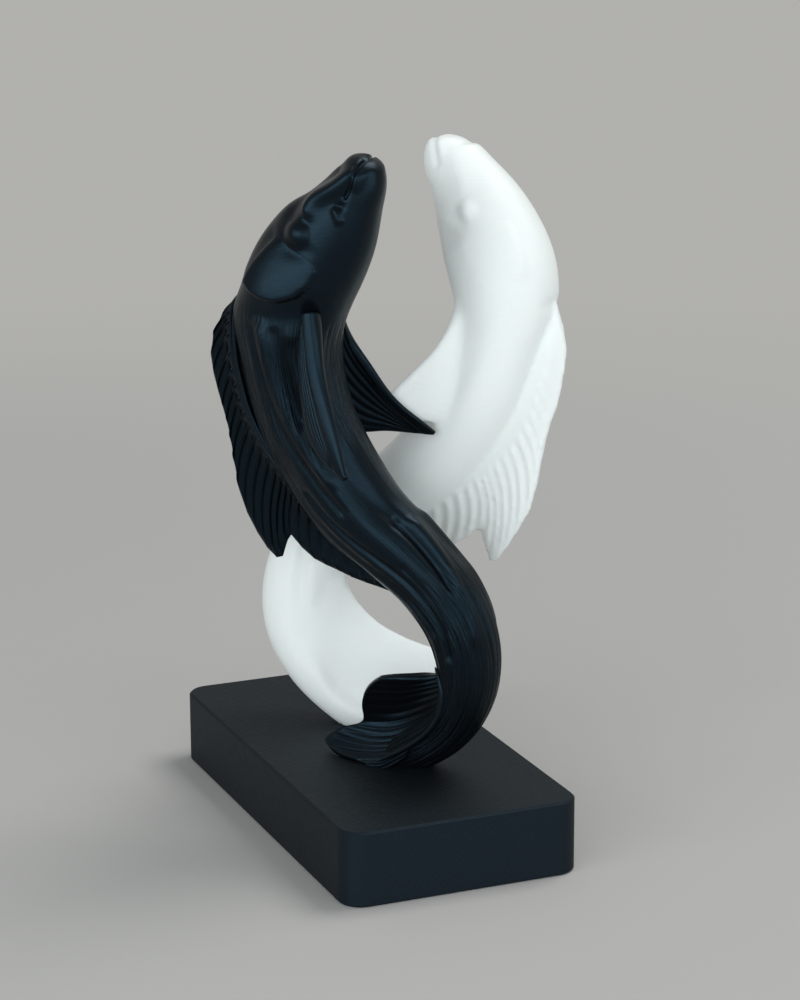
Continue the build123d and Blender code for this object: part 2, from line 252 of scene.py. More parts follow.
DORSAL_EDGE_HALF = 0.4
DORSAL_SCALLOP = 0.04
DORSAL_ROOT_SLOPE = 0.4
DORSAL_RAY_START_SHARE = 0.125
DORSAL_RAY_END_SHARE = 0.8
DORSAL_RAY_END_FADE = 0.2
DORSAL_THIN_SHARE = 0.92
DORSAL_THIN_FADE = 0.08

# Cords along the dorsal root: step in from the root's line, and half width beyond the root's
DORSAL_CORDS = ((0.1, -0.1), (1.15, 0.45))
DORSAL_CORD_POINTS = 240
CORD_AROUND = 8
CORD_BLUNT = 8
CORD_LEAST_SHARE = 0.001

# Pectoral fins of the black koi, right then left, and of the white koi: leading and trailing edge from
# root to tip
RIGHT_FIN = (
    ((0.3, -8.4, 101.2), (1.3, -10.2, 96.0), (2.1, -11.6, 91.3), (3.7, -13.2, 86.1),
     (6.7, -15.9, 78.0), (9.3, -18.3, 70.5)),
    ((-3.2, -8.0, 100.7), (-3.6, -9.2, 94.3), (-3.6, -10.4, 88.4), (-2.6, -12.0, 83.1), (-0.8, -13.8, 76.7),
     (2.9, -15.6, 72.7), (8.6, -18.1, 69.7)),
)
LEFT_FIN = (
    ((-1.6, 6.4, 101.0), (-0.2, 9.2, 91.0), (2.6, 11.0, 85.1), (4.7, 12.7, 80.4), (7.3, 15.0, 75.5),
     (10.8, 17.9, 71.0), (12.7, 20.4, 68.2)),
    ((-6.4, 6.4, 78.0), (-5.0, 9.2, 73.4), (-3.2, 11.0, 70.8), (-0.7, 13.0, 69.2), (2.5, 15.0, 69.0),
     (7.6, 17.9, 68.2), (12.4, 20.3, 67.4)),
)
WHITE_FIN = (
    ((-1.6, 5.4, 101.5), (-0.2, 9.6, 91.0), (4.9, 13.7, 80.6), (10.7, 18.9, 71.1)),
    ((-5.2, 6.0, 72.0), (-1.9, 9.4, 71.2), (3.6, 13.4, 70.6), (9.5, 18.1, 69.1)),
)
BLACK_FIN_ROOT_HALF = 1.6
WHITE_FIN_ROOT_HALF = 3.0
PECTORAL_ROWS = 70
PECTORAL_COLUMNS = 49
PECTORAL_HALF = 1.05
PECTORAL_LEAST_HALF = 0.18
PECTORAL_TAPER_SHARE = 0.6
PECTORAL_EDGE_POWER = 6
PECTORAL_EDGE_LEAST_SHARE = 0.04
PECTORAL_ROOT_SHARE = 0.5
PECTORAL_CAMBER = 0.8
PECTORAL_RAYS = 7
PECTORAL_RAY_DEPTH = 0.34
PECTORAL_STRIP = 2.5
PECTORAL_STRIP_HEIGHT = 0.5
PECTORAL_STRIP_FADE = 0.35
PECTORAL_RAY_POWER = 0.7
PECTORAL_RAY_FADE = 2.0
PECTORAL_RAY_TAPER_SHARE = 0.7
PECTORAL_LEAST_FAN = 0.3

# Tail fin rays: four points of each from the root to the free edge
BLACK_TAIL_RAYS = (
    ((22.0, -2.2, 23.6), (17.0, -3.0, 21.8), (12.7, -3.6, 21.4), (8.0, -3.5, 20.9)),
    ((22.4, -2.8, 22.3), (16.5, -2.2, 19.8), (11.5, -2.0, 18.6), (5.3, -2.7, 18.5)),
    ((22.5, -3.2, 21.2), (16.1, -1.3, 17.8), (10.9, -0.8, 16.0), (3.5, -1.9, 15.9)),
    ((22.6, -3.6, 19.9), (15.4, -0.3, 15.0), (9.9, 0.7, 12.5), (2.4, -0.5, 12.2)),
    ((22.6, -4.2, 18.6), (14.9, 0.1, 12.2), (9.5, 0.9, 9.6), (1.5, 1.2, 8.4)),
    ((22.5, -4.7, 17.3), (14.8, -0.4, 10.4), (8.8, 0.1, 7.3), (-2.3, 1.1, 6.8)),
    ((22.3, -5.1, 15.9), (15.4, -1.5, 9.1), (8.8, -1.2, 5.8), (-5.8, 1.0, 4.7)),
    ((21.9, -5.3, 14.4), (16.0, -3.0, 8.3), (9.2, -2.5, 4.8), (-6.9, 0.3, 2.9)),
    ((20.0, -5.4, 11.7), (15.0, -4.1, 7.2), (9.3, -3.6, 4.1), (-2.9, -2.3, 2.2)),
    ((17.0, -5.4, 8.7), (13.2, -5.0, 5.8), (8.7, -4.6, 3.6), (1.2, -4.2, 2.1)),
    ((13.2, -5.6, 5.4), (10.2, -5.5, 3.4), (8.0, -5.4, 2.2), (4.3, -5.0, 1.6)),
    ((12.6, -5.6, 3.6), (10.0, -5.5, 1.8), (8.0, -5.3, 0.9), (5.4, -4.9, 0.8)),
)
WHITE_TAIL_RAYS = (
    ((16.9, 3.2, 35.7), (13.8, -0.6, 28.1), (8.2, -3.0, 23.1), (-9.2, -5.0, 20.1)),
    ((18.2, 3.8, 30.4), (13.7, 0.6, 22.4), (6.4, -1.0, 18.5), (-10.4, -3.2, 17.6)),
    ((19.2, 4.2, 24.6), (13.6, 1.6, 16.7), (5.0, 0.8, 13.4), (-9.6, -1.0, 14.0)),
    ((19.4, 4.6, 18.8), (13.3, 2.6, 12.1), (4.4, 1.8, 9.4), (-8.8, 0.4, 10.2)),
    ((18.0, 4.8, 13.0), (12.4, 3.2, 8.0), (4.0, 2.4, 6.0), (-7.2, 1.4, 7.0)),
    ((14.5, 5.0, 8.5), (10.2, 3.8, 4.8), (3.8, 2.9, 3.6), (-5.6, 2.0, 4.4)),
    ((11.0, 5.0, 5.2), (8.0, 4.2, 3.2), (3.4, 3.3, 2.4), (-3.0, 2.6, 2.8)),
)
TAIL_RIM = (
    (20.4, -3.0, 25.0), (21.8, -4.2, 22.4), (22.4, -4.8, 19.0), (21.3, -5.2, 14.0),
    (17.4, -5.2, 9.3), (11.8, -5.2, 5.2), (7.2, -5.0, 2.4),
)

# How far each tail ray runs on into the body, as shares of its first step along each axis
BLACK_TAIL_ROOT_SHARES = (0.6, -0.3, 0.6)
WHITE_TAIL_ROOT_SHARES = (0.6, 0.6, 0.6)

# Thickness and pleats of the tail fan, and the rim along its root
TAIL_ROOT_HALF = 1.2
TAIL_EDGE_HALF = 0.55
TAIL_PLEAT_DEPTH = 0.22
TAIL_STEPS_PER_RAY = 16
TAIL_ROWS = 44
TAIL_PLEATS_PER_RAY = 1.5
TAIL_PLEAT_POWER = 0.8
TAIL_PLEAT_LEVEL = 0.6
TAIL_PLEAT_RISE = 3.0
TAIL_PLEAT_END_SHARE = 1.02
TAIL_PLEAT_FALL = 12.0
TAIL_BACK_SHARE = 0.5
RIM_RADIUS = 0.75
RIM_POINTS = 90
RIM_BLUNT = 3

# How the white koi's pieces run into one skin: voxel, rounds of easing, rounds in the loop and at fin roots
WHITE_FUSE = (0.45, 3, 32)
EASE_SHARE = 0.5
FOOT_CLEARANCE = 0.1
LOOP_TOP = 54.0
LOOP_FADE = 8.0
FIN_ROOT_POINTS = 24
FIN_ROOT_REACH = 12.0
FIN_ROOT_FADE = 6.0
TINY = 1e-9


def smooth_step(x):
    """Rises smoothly from 0 to 1 as x does."""
    x = np.clip(x, 0.0, 1.0)
    return x * x * (3.0 - 2.0 * x)


def spline(knots, values, at):
    """A natural cubic spline through rows of values."""
    knots = np.asarray(knots, float)
    values = np.asarray(values, float)
    n = len(knots)
    gaps = np.diff(knots)
    system = np.eye(n)
    right = np.zeros_like(values)
    for i in range(1, n - 1):
        system[i, i - 1:i + 2] = gaps[i - 1], 2 * (gaps[i - 1] + gaps[i]), gaps[i]
        right[i] = 6 * ((values[i + 1] - values[i]) / gaps[i] - (values[i] - values[i - 1]) / gaps[i - 1])
    curve = np.linalg.solve(system, right.reshape(n, -1)).reshape(values.shape)
    k = np.clip(np.searchsorted(knots, at) - 1, 0, n - 2)
    shape = (-1,) + (1,) * (values.ndim - 1)
    gap = gaps[k].reshape(shape)
    after = (at - knots[k]).reshape(shape)
    before = gap - after
    bend = (curve[k] * before**3 + curve[k + 1] * after**3) / (6 * gap)
    start = (values[k] / gap - curve[k] * gap / 6) * before
    end = (values[k + 1] / gap - curve[k + 1] * gap / 6) * after
    return bend + start + end


def through(points, at):
    """A spline through points, read at shares of its length."""
    points = np.asarray(points, float)
    steps = np.linalg.norm(np.diff(points, axis=0), axis=1)
    knots = np.concatenate([[0.0], np.cumsum(steps)])
    return spline(knots, points, np.asarray(at) * knots[-1])


def near_path(points, x, y):
    """Distance from a path of straight runs, and the share of its length at the nearest point."""
    points = np.asarray(points, float)
    lengths = np.linalg.norm(np.diff(points, axis=0), axis=1)
    starts = np.concatenate([[0.0], np.cumsum(lengths)])
    best = np.full(x.shape, np.inf)
    share = np.zeros(x.shape)
    for i, length in enumerate(lengths):
        dx, dy = (points[i + 1] - points[i]) / length
        along = np.clip((x - points[i, 0]) * dx + (y - points[i, 1]) * dy, 0.0, length)
        gap = np.hypot(x - points[i, 0] - along * dx, y - points[i, 1] - along * dy)
        closer = gap < best
        best = np.where(closer, gap, best)
        share = np.where(closer, (starts[i] + along) / starts[-1], share)
    return best, share


def inside(points, x, y):
    """True where a point lies in a closed outline."""
    found = np.zeros(x.shape, bool)
    for (x0, y0), (x1, y1) in zip(points, points[1:] + points[:1]):
        crosses = (y0 > y) != (y1 > y)
        found ^= crosses & (x < (x1 - x0) * (y - y0) / (y1 - y0 + TINY) + x0)
    return found


def relief(table, x, y):
    """The sum of ridges and grooves along smooth paths, each fading out at both ends."""
    total = np.zeros(x.shape)
    for height, half_width, points in table.values():
        points = through(points, np.linspace(0.0, 1.0, RELIEF_STEPS * len(points)))
        gap, share = near_path(points, x, y)
        length = np.linalg.norm(np.diff(np.asarray(points, float), axis=0), axis=1).sum()
        fade = min(RELIEF_FADE_WIDTHS * half_width, 0.5 * length)
        ends = smooth_step(share * length / fade) * smooth_step((1.0 - share) * length / fade)
        total += height * ends * np.exp(-((gap / half_width) ** 2))
    return total


def gill_cover(x, y, height):
    """A flattened plate behind the eye with a rounded rim, which rises from its front to its rear."""
    gap, _ = near_path(GILL_OUTLINE + GILL_OUTLINE[:1], x, y)
    axis = np.subtract(GILL_REAR, GILL_FRONT)
    back = ((x - GILL_FRONT[0]) * axis[0] + (y - GILL_FRONT[1]) * axis[1]) / axis.dot(axis)
    aside = ((y - GILL_FRONT[1]) * axis[0] - (x - GILL_FRONT[0]) * axis[1]) / np.hypot(*axis)
    slope = (1.0 + GILL_FRONT_SINK) * np.clip(back, 0.0, GILL_REACH_SHARE) - GILL_FRONT_SINK
    lift = height * slope + GILL_FLAT * (aside / GILL_HALF_WIDTH) ** 2
    rim = np.sqrt(1.0 - (1.0 - np.clip(gap / GILL_ROUND, 0.0, 1.0)) ** 2)
    return np.where(inside(GILL_OUTLINE, x, y), lift * rim, 0.0)


def eye(x, y, centre_x, centre_y, radius, height):
    """A low dome."""
    gap = np.hypot(x - centre_x, y - centre_y) / radius
    return height * np.clip(1.0 - gap**2, 0.0, 1.0) ** EYE_DOME


def grain(along, round_back):
    """Fine flowing lines along the body."""
    total = np.zeros(along.shape)
    for k, (lines, drift, wave) in enumerate(GRAIN_LINES):
        sway = np.sin(along / wave + 2.0 * k)
        total += np.sin(np.radians(round_back) * lines * 0.5 + along * drift + k + sway)
    return total / len(GRAIN_LINES)


def unit(vectors):
    """Vectors scaled to a length of 1."""
    return vectors / np.maximum(np.linalg.norm(vectors, axis=-1, keepdims=True), TINY)


def body(shares, look):
    """The body: oval rings square to the spine, with relief raised along the skin's normal."""
    rows = np.array(shares) * (KOI_HEIGHT, KOI_HEIGHT, KOI_DEPTH, KOI_WIDTH)
    knots = np.concatenate([[0.0], np.cumsum(np.hypot(*np.diff(rows[:, :2], axis=0).T))])
    length = knots[-1]
    front = np.linspace(END_GAP, HEAD_LENGTH, HEAD_RINGS)
    along = np.concatenate([front, np.linspace(HEAD_LENGTH, length - END_GAP, BODY_RINGS)[1:]])
    sections = spline(knots, rows, along)
    centre = sections[:, :2]
    heading = unit(np.gradient(centre, along, axis=0))
    belly = np.column_stack([-heading[:, 1], heading[:, 0]])
    snout = np.sqrt(1.0 - (1.0 - np.clip(along / SNOUT_ROUND, 0.0, 1.0)) ** 2)
    tail = np.sqrt(1.0 - (1.0 - np.clip((length - along) / TAIL_ROUND, 0.0, 1.0)) ** 2)
    half_depth = sections[:, 2] * snout * tail
    half_width = sections[:, 3] * snout * tail
    turn = np.linspace(0.0, 2.0 * math.pi, BODY_AROUND, endpoint=False)
    scoop = 1.0 - (1.0 - look["scoop"]) * smooth_step((along - SCOOP_START) / (SCOOP_END - SCOOP_START))
    cosine = np.cos(turn)[None, :] * np.where(np.cos(turn)[None, :] > 0.0, scoop[:, None], 1.0)
    points = np.empty((len(along), BODY_AROUND, 3))
    points[..., 0] = centre[:, 0, None] - belly[:, 0, None] * half_depth[:, None] * cosine
    points[..., 1] = half_width[:, None] * np.sin(turn)[None, :]
    points[..., 2] = centre[:, 1, None] - belly[:, 1, None] * half_depth[:, None] * cosine
    around = np.roll(points, -1, axis=1) - np.roll(points, 1, axis=1)
    normal = unit(np.cross(np.gradient(points, axis=0), around))
    outward = points - np.stack([centre[:, 0], 0.0 * along, centre[:, 1]], -1)[:, None, :]
    normal *= np.sign(np.sum(normal * outward, -1, keepdims=True) + TINY)

    side, up = points[..., 0], points[..., 2]
    along = np.broadcast_to(along[:, None], side.shape)
    round_back = np.degrees(np.arccos(np.clip(np.cos(turn), -1.0, 1.0)))[None, :] + 0.0 * side
    head = relief(look["head"], side, up)
    head = head + gill_cover(side, up, look["gill"]) + eye(side, up, *look["eye"])
    head *= smooth_step((HEAD_END - along) / HEAD_FADE)
    skin_y = np.radians(round_back) * SKIN_ROUND
    table = {}
    for name, (height, half, path) in look["skin"].items():
        table[name] = (height, half, [(s, math.radians(a) * SKIN_ROUND) for s, a in path])
    trunk = relief(table, along, skin_y) * smooth_step((along - TRUNK_START) / TRUNK_FADE)
    fade = smooth_step((along - GRAIN_START) / GRAIN_FADE)
    onto_flank = smooth_step((along - FLANK_START) / FLANK_FADE)
    off_flank = smooth_step((FLANK_END - along) / FLANK_FADE)
    flank = 1.0 - FLANK_SMOOTH_SHARE * onto_flank * off_flank
    lines = look["grain"] * grain(along, round_back) * fade * flank
    points = points + normal * (head + trunk + lines)[..., None]
    skin = np.stack([along, skin_y * np.sign(np.sin(turn) + TINY), fade * flank], -1)
    return (*tube(points), skin.reshape(-1, 3))


def tube(points):
    """A closed mesh from rings of points, with a point at each end."""
    rings, around = points.shape[:2]
    ends = np.stack([points[0].mean(0), points[-1].mean(0)])
    verts = np.concatenate([points.reshape(-1, 3), ends])
    here = np.arange(rings * around).reshape(rings, around)
    there = np.roll(here, -1, axis=1)
    quads = np.stack([here[:-1], there[:-1], there[1:], here[1:]], -1).reshape(-1, 4)
    first = np.stack([there[0], here[0], np.full(around, rings * around)], -1)
    last = np.stack([here[-1], there[-1], np.full(around, rings * around + 1)], -1)
    return verts, [quads, first, last]


def sheet(front, back):
    """A closed mesh between two grids of points that share their outline's order."""
    rows, columns = front.shape[:2]
    verts = np.concatenate([front.reshape(-1, 3), back.reshape(-1, 3)])
    here = np.arange(rows * columns).reshape(rows, columns)
    quads = np.stack([here[:-1, :-1], here[1:, :-1], here[1:, 1:], here[:-1, 1:]], -1).reshape(-1, 4)
    rim = np.concatenate([here[0, :], here[1:, -1], here[-1, -2::-1], here[-2:0:-1, 0]])
    next_rim = np.roll(rim, -1)
    under = rows * columns
    wall = np.stack([rim, next_rim, next_rim + under, rim + under], -1)
    return verts, [quads, quads[:, ::-1] + under, wall]


def grid_normal(points):
    """The normals of a grid of points."""
    return unit(np.cross(np.gradient(points, axis=0), np.gradient(points, axis=1)))


def soft_rays(u, share):
    """Rounded rays at whole numbers."""
    return np.exp(-(((u - np.round(u)) / share) ** 2))


def stepped_rays(u, share):
    """Rounded rays with panels between them that slope down from each ray to the next."""
    behind = u - np.floor(u)
    rise = smooth_step((behind - 1.0 + share) / share)
    slope = np.where(behind < 1.0 - share, 1.0 - behind / (1.0 - share), rise)
    return STEP_SHARE * slope + (1.0 - STEP_SHARE) * soft_rays(u, share)


def dorsal_fin(rays, flare, cord_radius, ray_form, ray_height, ray_share, rise_rays, beads):
    """A flat fin along the back with raised rays, flared at its root, and cords along that root."""
    rays = np.array(rays)
    count = len(rays) - 1
    u = np.linspace(0.0, count, DORSAL_STEPS_PER_RAY * count + 1)
    w = np.linspace(0.0, 1.0, DORSAL_ROWS)
    rows = np.stack([np.interp(u, np.arange(count + 1), column) for column in rays.T], -1)
    ray = ray_form(u, ray_share)
    foot, tip = rows[:, :2], rows[:, 2:]
    reach = unit(tip - foot)
    tip = tip - reach * (DORSAL_SCALLOP * (1.0 - ray))[:, None]
    start = foot + np.array([DORSAL_ROOT_DEPTH, DORSAL_ROOT_SLOPE * DORSAL_ROOT_DEPTH])
    root_end = w[DORSAL_ROOT_ROWS]
    inner = w[:DORSAL_ROOT_ROWS + 1] / root_end
    outer = (w[DORSAL_ROOT_ROWS:] - root_end) / (1.0 - root_end)
    below = start[:, None, :] + (foot - start)[:, None, :] * inner[None, :, None]
    above = foot[:, None, :] + (tip - foot)[:, None, :] * outer[None, 1:, None]
    side = np.concatenate([below, above], axis=1)
    out = np.concatenate([np.zeros(DORSAL_ROOT_ROWS), outer])[None, :] + 0.0 * u[:, None]
    span = np.linalg.norm(tip - foot, axis=1)[:, None]
    aside = np.column_stack([reach[:, 1], -reach[:, 0]])
    side = side + aside[:, None, :] * (DORSAL_BOW * span * 4.0 * out * (1.0 - out))[..., None]
    half = DORSAL_EDGE_HALF + (DORSAL_MID_HALF - DORSAL_EDGE_HALF) * (1.0 - out)
    begin = smooth_step(u / DORSAL_START_RAYS)[:, None]
    half += (DORSAL_ROOT_HALF - DORSAL_MID_HALF) * begin * np.exp(-((out * span / flare) ** 2))
    bead = 1.0 + beads * np.sin(out * span * 2.0 * math.pi / BEAD_PITCH)
    rise = ray_height * ray * smooth_step(u / rise_rays)
    begun = smooth_step(out / DORSAL_RAY_START_SHARE)
    ended = smooth_step((out - DORSAL_RAY_END_SHARE) / DORSAL_RAY_END_FADE)
    half += rise[:, None] * bead * begun * (1.0 - ended)
    half -= 0.5 * DORSAL_EDGE_HALF * smooth_step((out - DORSAL_THIN_SHARE) / DORSAL_THIN_FADE)
    grids = []
    for sign in (1.0, -1.0):
        grids.append(np.stack([side[..., 0], sign * half, side[..., 1]], -1))
    pieces = [sheet(*grids)]
    if not cord_radius:
        return pieces
    share = np.linspace(0.0, 1.0, DORSAL_CORD_POINTS)
    root = through(rays[:, :2], share)
    heading = unit(np.gradient(root, axis=0))
    inward = np.column_stack([-heading[:, 1], heading[:, 0]])
    for sign in (1.0, -1.0):
        for step, wider in DORSAL_CORDS:
            line = root + inward * step
            aside = np.full(DORSAL_CORD_POINTS, sign * (DORSAL_ROOT_HALF + wider))
            pieces.append(cord(np.column_stack([line[:, 0], aside, line[:, 1]]), cord_radius))
    return pieces


def cord(path, radius, blunt=CORD_BLUNT):
    """A round cord along a path, thin at its ends."""
    heading = unit(np.gradient(path, axis=0))
    across = unit(np.cross(heading, (0.0, 1.0, 0.0)))
    other = np.cross(heading, across)
    turn = np.linspace(0.0, 2.0 * math.pi, CORD_AROUND, endpoint=False)
    share = np.linspace(0.0, 1.0, len(path))
    taper = 1.0 - np.abs(2.0 * share - 1.0) ** blunt
    thick = radius * np.sqrt(np.clip(taper, CORD_LEAST_SHARE, 1.0))
    rings = across[:, None] * np.cos(turn)[None, :, None] + other[:, None] * np.sin(turn)[None, :, None]
    return tube(path[:, None] + rings * thick[:, None, None])


def pectoral_fin(edges, root_half, mirrored=1.0):
    """A blade that stands out from the flank, with a flat leading strip and rays that meet at the tip."""
    w = np.linspace(0.0, 1.0, PECTORAL_ROWS)
    u = np.linspace(0.0, 1.0, PECTORAL_COLUMNS)
    lead = through(edges[0], w)
    trail = through(edges[1], w)
    middle = lead[:, None] + (trail - lead)[:, None] * u[None, :, None]
    normal = grid_normal(middle)
    normal *= np.sign(np.sum(normal[..., 1] * middle[..., 1]))
    bow = 4.0 * u * (1.0 - u)
    middle = middle + normal * (PECTORAL_CAMBER * bow[None, :] * (1.0 - w[:, None] ** 2))[..., None]
    rounded = 1.0 - (2.0 * u - 1.0) ** PECTORAL_EDGE_POWER
    edge = np.sqrt(np.clip(rounded, PECTORAL_EDGE_LEAST_SHARE, 1.0))
    half = edge[None, :] * (PECTORAL_HALF * (1.0 - PECTORAL_TAPER_SHARE * w[:, None]))
    thinned = (1.0 - smooth_step(w / PECTORAL_ROOT_SHARE))[:, None]
    root = (root_half - PECTORAL_HALF) * edge[None, :] * thinned
    chord = np.linalg.norm(trail - lead, axis=1)[:, None]
    past_strip = u[None, :] * chord - PECTORAL_STRIP
    strip = 1.0 - smooth_step(past_strip / PECTORAL_STRIP_FADE)
    fan = past_strip / np.maximum(chord - PECTORAL_STRIP, PECTORAL_LEAST_FAN)
    pleats = np.abs(np.sin(math.pi * PECTORAL_RAYS * fan)) ** PECTORAL_RAY_POWER - 1.0
    grooves = np.where(fan > 0.0, pleats, 0.0)
    bumps = PECTORAL_STRIP_HEIGHT * strip
    bumps = bumps + PECTORAL_RAY_DEPTH * grooves * smooth_step((chord - PECTORAL_STRIP) / PECTORAL_RAY_FADE)
    half = half + bumps * (1.0 - PECTORAL_RAY_TAPER_SHARE * w[:, None]) * edge[None, :]
    half = np.maximum(half, PECTORAL_LEAST_HALF)
    mirror = np.array([1.0, mirrored, 1.0])
    front = (middle + normal * half[..., None]) * mirror
    back = (middle - normal * (half + root)[..., None]) * mirror
    return sheet(front, back)


def tail_fin(rays, face, root_shares):
    """A cupped fan with pleats, its front face on the given side of the koi."""
    rays = np.array(rays)
    root = rays[:, :1] + np.array(root_shares) * (rays[:, :1] - rays[:, 1:2])
    rays = np.concatenate([root, rays], axis=1)
    count = len(rays) - 1
    u = np.linspace(0.0, count, TAIL_STEPS_PER_RAY * count + 1)
    w = np.linspace(0.0, 1.0, TAIL_ROWS)
    across = spline(np.arange(count + 1), rays, u)
    surface = np.stack([through(row, w) for row in across])
    normal = grid_normal(surface)
    normal *= np.sign(normal[..., 1:2].mean() * face)
    pleat = np.abs(np.sin(math.pi * u * TAIL_PLEATS_PER_RAY)) ** TAIL_PLEAT_POWER - TAIL_PLEAT_LEVEL
    begun = smooth_step(w * TAIL_PLEAT_RISE)[None, :]
    ended = smooth_step((TAIL_PLEAT_END_SHARE - w) * TAIL_PLEAT_FALL)[None, :]
    pleats = TAIL_PLEAT_DEPTH * pleat[:, None] * begun * ended
    half = TAIL_ROOT_HALF + (TAIL_EDGE_HALF - TAIL_ROOT_HALF) * w[None, :] + 0.0 * u[:, None]
    front = surface + normal * pleats[..., None]
    back = surface - normal * (2.0 * half - pleats * TAIL_BACK_SHARE)[..., None]
    return sheet(front, back)


def turned(axis, degrees):
    """A rotation about an axis."""
    return np.array(Matrix.Rotation(math.radians(degrees), 3, axis))


def place(points, tilt, turn):
    """Stands points of a koi's own frame on the plinth, with a flat foot."""
    stood = points @ (turned("X", KOI_LEAN) @ turned("Y", -tilt)).T
    stood = stood + (0.0, -KOI_OFFSET, PLINTH_HEIGHT - FOOT_CUT)
    stood = stood @ turned("Z", turn - KOI_YAW).T
    stood[:, 2] = np.maximum(stood[:, 2], PLINTH_HEIGHT)
    return stood * MM


def add_mesh(name, pieces, tilt, turn):
    """One object from closed meshes. Its skin attribute holds the place along and round the body."""
    verts, faces, skins, first = [], [], [], 0
    for points, groups, *skin in pieces:
        verts.append(points)
        skins.append(np.zeros((len(points), 3)))
        if skin:
            skins[-1][:len(skin[0])] = skin[0]
        for group in groups:
            faces.extend((group + first).tolist())
        first += len(points)
    mesh = bpy.data.meshes.new(name)
    mesh.from_pydata(place(np.concatenate(verts), tilt, turn).tolist(), [], faces)
    layer = mesh.attributes.new("skin", "FLOAT_VECTOR", "POINT")
    layer.data.foreach_set("vector", np.concatenate(skins).ravel())
    mesh.validate()
    mesh.polygons.foreach_set("use_smooth", [True] * len(mesh.polygons))
    made = bpy.data.objects.new(name, mesh)
    bpy.context.scene.collection.objects.link(made)
    return made


def koi(name, shares, dorsal, pectorals, tail, face, look, stance):
    """A koi as one fused form, or as the form of its body and tail and that of its fins."""
    form = [body(shares, look), tail_fin(tail, face, look["tail_root"])]
    for path, radius in look["cords"]:
        form.append(cord(through(path, np.linspace(0.0, 1.0, RIM_POINTS)), radius, RIM_BLUNT))
    fins = dorsal_fin(dorsal, look["flare"], look["cord"], *look["rays"], look["beads"]) + pectorals
    if look["fuse"]:
        made = [add_mesh(name + "_form", form + fins, *stance)]
        roots = np.linspace(*look["fin_root"], FIN_ROOT_POINTS)
        roots = place(np.concatenate([roots, roots * (1.0, -1.0, 1.0)]), *stance)
        fuse(made[0], *look["fuse"], roots)
    else:
        made = [add_mesh(name + "_form", form, *stance), add_mesh(name + "_fins", fins, *stance)]
    for piece in made:
        keep_inside(piece.data)
    return made


def keep_inside(mesh):
    """Eases points back into the frame's own box."""
    points = np.empty(3 * len(mesh.vertices))
    mesh.vertices.foreach_get("co", points)
    mesh.vertices.foreach_set("co", np.clip(points.reshape(-1, 3), cad_low, cad_high).ravel())


def fuse(made, voxel, rounds, soft_rounds, roots):
    """Runs a koi's pieces into one skin and eases it, most of all in the tail's loop and at fin roots."""
    skin = made.modifiers.new("fuse", "REMESH")
    skin.mode = "VOXEL"
    skin.voxel_size = voxel * MM
    graph = bpy.context.evaluated_depsgraph_get()
    fused = bpy.data.meshes.new_from_object(made.evaluated_get(graph))
    made.modifiers.clear()
    made.data = fused
    points = np.empty(3 * len(fused.vertices))
    fused.vertices.foreach_get("co", points)
    points = points.reshape(-1, 3)
    edges = np.empty(2 * len(fused.edges), np.int64)
    fused.edges.foreach_get("vertices", edges)
    edges = edges.reshape(-1, 2)
    here, there = np.concatenate([edges, edges[:, ::-1]]).T
    links = np.bincount(here, minlength=len(points))[:, None]
    height = points[:, 2] / MM
    free = (height > PLINTH_HEIGHT + FOOT_CLEARANCE)[:, None]
    loop = smooth_step((LOOP_TOP - height) / LOOP_FADE)
    away = np.min([np.linalg.norm(points - root, axis=1) for root in roots], axis=0) / MM
    soft = np.maximum(loop, smooth_step((FIN_ROOT_REACH - away) / FIN_ROOT_FADE))[:, None]
    for step in range(soft_rounds):
        share = EASE_SHARE * free * (1.0 if step < rounds else soft)
        sums = [np.bincount(here, points[there, axis], len(points)) for axis in range(3)]
        points += share * (np.stack(sums, -1) / links - points)
    fused.vertices.foreach_set("co", points.ravel())
    fused.polygons.foreach_set("use_smooth", [True] * len(fused.polygons))


# What sets the two koi apart: scoop and beads are shares, other bare sizes are millimetres. Rays are a
# form, a height, a share of the pitch and the number of rays over which they rise
WHITE_SKIN = {}
for relief_name, (ridge_height, ridge_half, ridge_path) in SKIN_RELIEF.items():
    WHITE_SKIN[relief_name] = (WHITE_TRUNK_SHARE * ridge_height, ridge_half, ridge_path)
WHITE_SKIN.update(WHITE_SKIN_RELIEF)
BLACK_LOOK = {
    "head": BLACK_HEAD_RELIEF,
    "eye": BLACK_EYE,
    "gill": BLACK_GILL_HEIGHT,
    "skin": SKIN_RELIEF,
    "grain": 0.14,
    "scoop": 0.7,
    "flare": 2.2,
    "cord": 0.55,
    "rays": (stepped_rays, 1.0, 0.15, 2.0),
    "beads": 0.0,
    "tail_root": BLACK_TAIL_ROOT_SHARES,
    "cords": [(TAIL_RIM, RIM_RADIUS)],
    "fuse": None,
}
WHITE_LOOK = {
    "head": WHITE_HEAD_RELIEF,
    "eye": WHITE_EYE,
    "gill": 0.0,
    "skin": WHITE_SKIN,
    "grain": 0.05,
    "scoop": 0.15,
    "flare": 4.0,
    "cord": 0.0,
    "rays": (soft_rays, 0.7, 0.26, 9.0),
    "beads": 0.12,
    "tail_root": WHITE_TAIL_ROOT_SHARES,
    "cords": [],
    "fuse": WHITE_FUSE,
    "fin_root": (WHITE_FIN[0][0], WHITE_FIN[1][0]),
}
RIGHT_FACE = -1.0
LEFT_FACE = 1.0
black_pectorals = [pectoral_fin(edges, BLACK_FIN_ROOT_HALF) for edges in (RIGHT_FIN, LEFT_FIN)]
white_pectorals = [pectoral_fin(WHITE_FIN, WHITE_FIN_ROOT_HALF, mirrored) for mirrored in (1.0, -1.0)]
